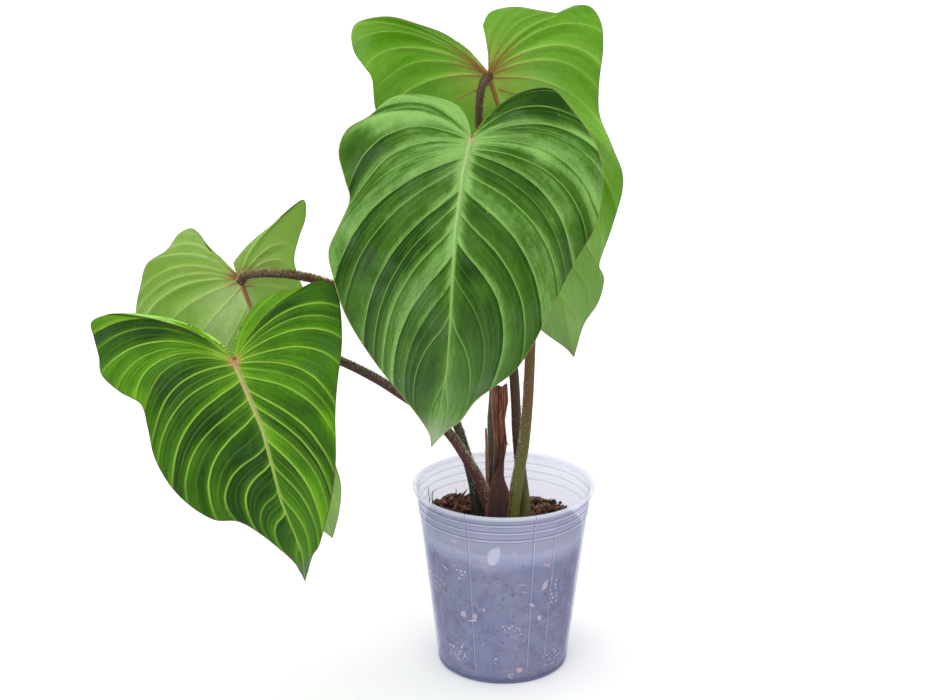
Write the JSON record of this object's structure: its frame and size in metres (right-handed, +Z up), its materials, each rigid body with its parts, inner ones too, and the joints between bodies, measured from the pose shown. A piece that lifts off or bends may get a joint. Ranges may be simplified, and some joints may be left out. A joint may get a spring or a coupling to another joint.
{
  "type": "potted philodendron verrucosum",
  "caption": "Potted aroid with large heart-shaped, strongly veined leaves on long bristly stalks, in a clear round nursery pot filled with a bark mix.",
  "frame": {"origin": "middle of the pot's flat base, on the surface it stands on", "axes": "+Z up along the pot's axis; the leaf that shows its upper side looks towards -Y; +X to the right seen from there"},
  "size_m": [0.3327, 0.256, 0.4371],
  "materials": {
    "clear_pot": "thin clear plastic with a faint blue cast, smooth, light scuffs and water marks",
    "bark_mix": "damp broken bark with white perlite, matt",
    "stem_skin": "short woody stem, matt",
    "leaf_upper": "deep green leaf, satin sheen, sunken yellow-green veins",
    "leaf_upper_bright": "fresh green leaf, satin sheen, bright yellow-green veins",
    "leaf_under": "paler leaf underside, soft sheen, raised brown-orange veins near the stalk",
    "leaf_under_pale": "pale leaf underside, soft sheen, raised brown-orange veins near the stalk",
    "leaf_young": "rolled young leaf, satin",
    "stalk_olive": "olive leaf stalk turning brown upwards, sparse pale bristles",
    "stalk_dark": "dark brown leaf stalk, bristly",
    "stalk_red": "reddish brown leaf stalk with pale bristles",
    "stalk_green": "dark green leaf stalk with dense bristles",
    "stalk_grey": "slim grey-green leaf stalk",
    "dry_sheath": "dried papery leaf sheath, ribbed, matt"
  },
  "bodies": {
    "root": {"pot": "clear_pot", "substrate": "bark_mix", "stem": "stem_skin", "leaf_front": "leaf_upper", "leaf_left_front": "leaf_upper_bright", "leaf_back": "leaf_under", "leaf_left_back": "leaf_under_pale", "leaf_young": "leaf_young", "stalk_front": "stalk_olive", "stalk_back": "stalk_dark", "stalk_left_front": "stalk_red", "stalk_left_back": "stalk_green", "stalk_young": "stalk_grey", "sheath_tall": "dry_sheath", "sheath_low": "dry_sheath", "sheath_side": "dry_sheath"}
  },
  "joints": []
}
